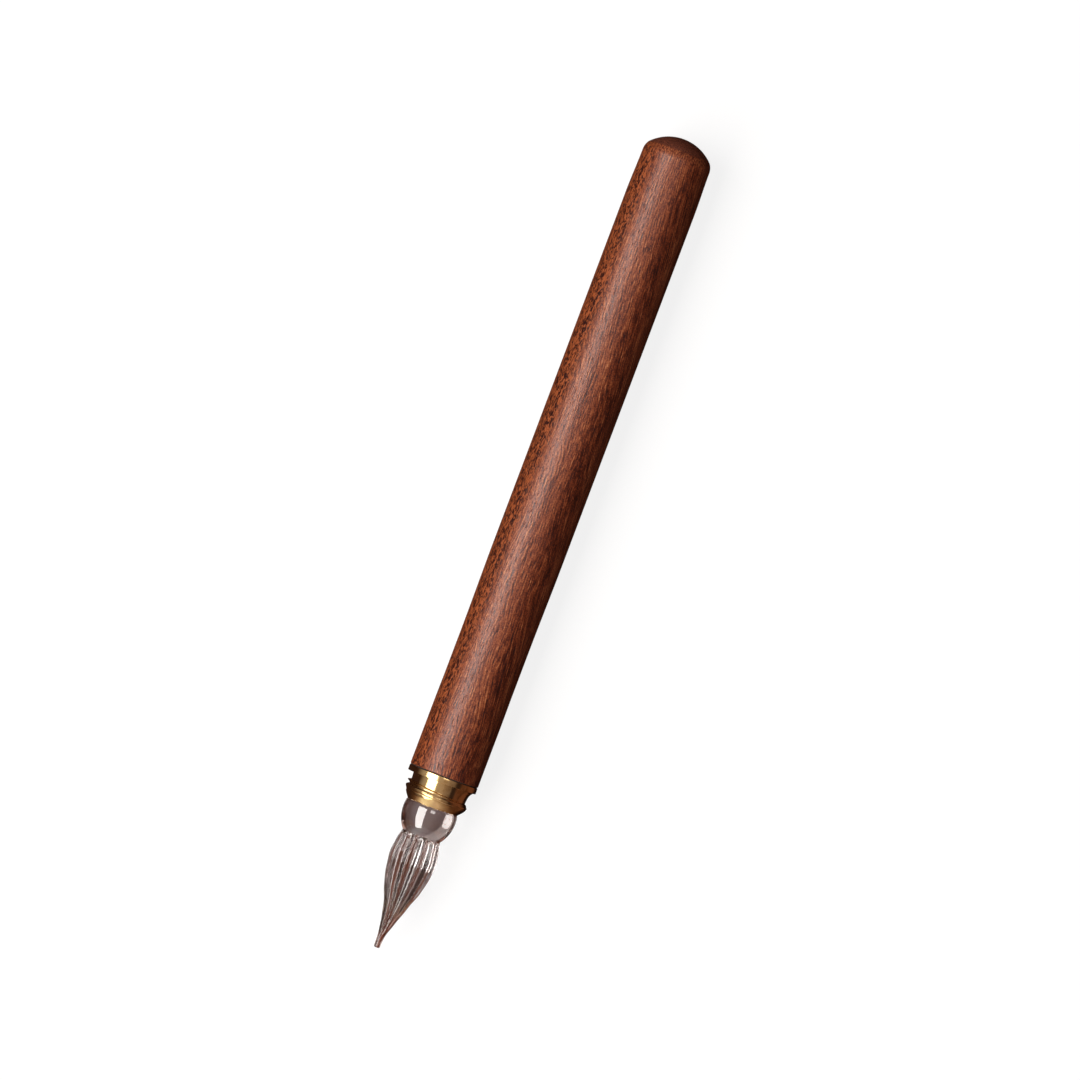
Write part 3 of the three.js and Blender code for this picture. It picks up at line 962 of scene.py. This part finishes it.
def surround(tree):
    """The room: white to the camera, dim and even as light, and to metal and glass a tone that goes by
    the angle off the vertical, atan(y / z): grey overhead, with dark walls at the sides and a pale one
    beyond the nib."""
    rays = put(tree, "ShaderNodeLightPath").outputs
    direction = put(tree, "ShaderNodeTexCoord").outputs["Generated"]
    x, y, z = put(tree, "ShaderNodeSeparateXYZ", {0: direction}).outputs
    angle = calculate(tree, "DEGREES", calculate(tree, "ARCTAN2", y, z))
    overhead = shades_between(tree, angle, -180, 180, ROOM_SEEN)
    seen = tint(tree, span(tree, x, *OVERHEAD_TO_AHEAD), overhead, seen_ahead(tree, x, y))
    seen = tint(tree, rays["Is Transmission Ray"], seen, THROUGH_GLASS, "MULTIPLY")
    mirrored = calculate(tree, "MAXIMUM", rays["Is Glossy Ray"], rays["Is Transmission Ray"])
    colour = tint(tree, mirrored, ROOM_LIGHT, seen)
    return tint(tree, rays["Is Camera Ray"], colour, (1, 1, 1))


room = bpy.data.worlds.new("white_room")
room.use_nodes = True
bpy.context.scene.world = room
room.node_tree.links.new(surround(room.node_tree), room.node_tree.nodes["Background"].inputs["Color"])


# Lamps and camera
# One large softbox stands high on the -Y side, over the nib end, and reaches along the whole pen. A small
# one on the +Y side only adds a spot on the bulb. The camera looks straight down from a distance, turned
# so that the nib points to the lower left.

LAMP_COLOUR = (1.0, 0.965, 0.93)
KEY_LEAN = math.radians(-34.5)
KEY_DISTANCE = 2.0  # metres, as all places and sizes of lamps and camera are
KEY_START = -0.45
KEY_END = 2.45
KEY_HALF_ANGLE = math.radians(18.3)
KEY_WIDTH = 2 * KEY_DISTANCE * math.tan(KEY_HALF_ANGLE)
KEY_RADIANCE = 5.6
SPOT_PLACE = (-0.290, 0.280)
SPOT_HEIGHT = 1.44
SPOT_SIZE = (0.24, 0.50)
SPOT_RADIANCE = 3.2


def softbox(name, size, radiance, place):
    """A rectangular lamp of even radiance, hidden from the camera, that shines straight down."""
    lamp = bpy.data.lights.new(name, "AREA")
    lamp.shape = "RECTANGLE"
    lamp.size, lamp.size_y = size
    lamp.energy = radiance * math.pi * lamp.size * lamp.size_y
    lamp.color = LAMP_COLOUR
    box = bpy.data.objects.new(name, lamp)
    box.location = place
    box.visible_camera = False
    bpy.context.scene.collection.objects.link(box)
    return box


key_middle = (KEY_START + KEY_END) / 2
key_side = KEY_DISTANCE * math.sin(KEY_LEAN)
key_height = AXIS_HEIGHT + KEY_DISTANCE * math.cos(KEY_LEAN)
key_size = (KEY_END - KEY_START, KEY_WIDTH)
key = softbox("key_softbox", key_size, KEY_RADIANCE, (key_middle, key_side, key_height))
key.rotation_euler = (-KEY_LEAN, 0, 0)

spot_place = (LIP_PLACE + SPOT_PLACE[0], SPOT_PLACE[1], AXIS_HEIGHT + SPOT_HEIGHT)
spot = softbox("small_softbox", SPOT_SIZE, SPOT_RADIANCE, spot_place)
spot.visible_diffuse = False
spot.visible_transmission = False

CAMERA_HEIGHT = 1.4
CAMERA_PLACE = (-0.00117, 0.00117)
CAMERA_TURN = math.radians(110.68)
VIEW_HALF_WIDTH = 0.0963  # at the pen's axis
CAMERA_ANGLE = 2 * math.atan(VIEW_HALF_WIDTH / CAMERA_HEIGHT)

camera = bpy.data.objects.new("camera", bpy.data.cameras.new("camera"))
camera.location = (*CAMERA_PLACE, AXIS_HEIGHT + CAMERA_HEIGHT)
camera.rotation_euler = (0, 0, CAMERA_TURN)
camera.data.sensor_fit = "HORIZONTAL"
camera.data.angle = CAMERA_ANGLE
bpy.context.scene.collection.objects.link(camera)
bpy.context.scene.camera = camera
bpy.context.scene.view_settings.view_transform = "Standard"
